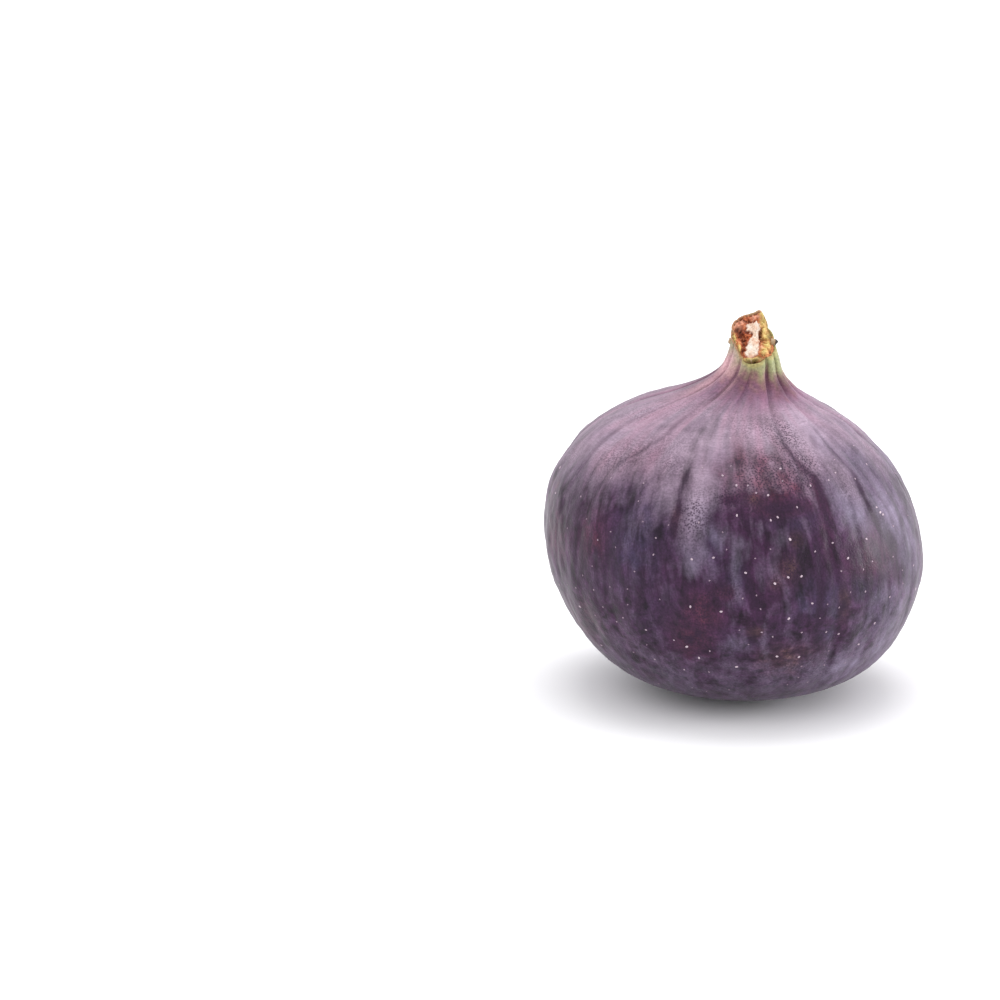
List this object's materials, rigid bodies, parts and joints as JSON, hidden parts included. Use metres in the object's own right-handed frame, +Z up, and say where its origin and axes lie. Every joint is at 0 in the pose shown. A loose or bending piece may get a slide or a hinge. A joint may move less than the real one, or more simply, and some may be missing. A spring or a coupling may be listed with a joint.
{
  "type": "fresh fig",
  "caption": "Whole fresh black fig standing on its base: squat, leaning body with fine ribs, fluted neck and a slant-cut stub of stalk.",
  "frame": {"origin": "on the surface that the fig stands on, under the middle of its bounding box", "axes": "+Z up from the eye to the stalk, -Y the front, which the cut across the stalk faces, +X to the right seen from the front"},
  "size_m": [0.0598, 0.0596, 0.0606],
  "materials": {
    "skin": "satin skin with a waxy bloom"
  },
  "bodies": {
    "root": {"fig": "skin"}
  },
  "joints": []
}
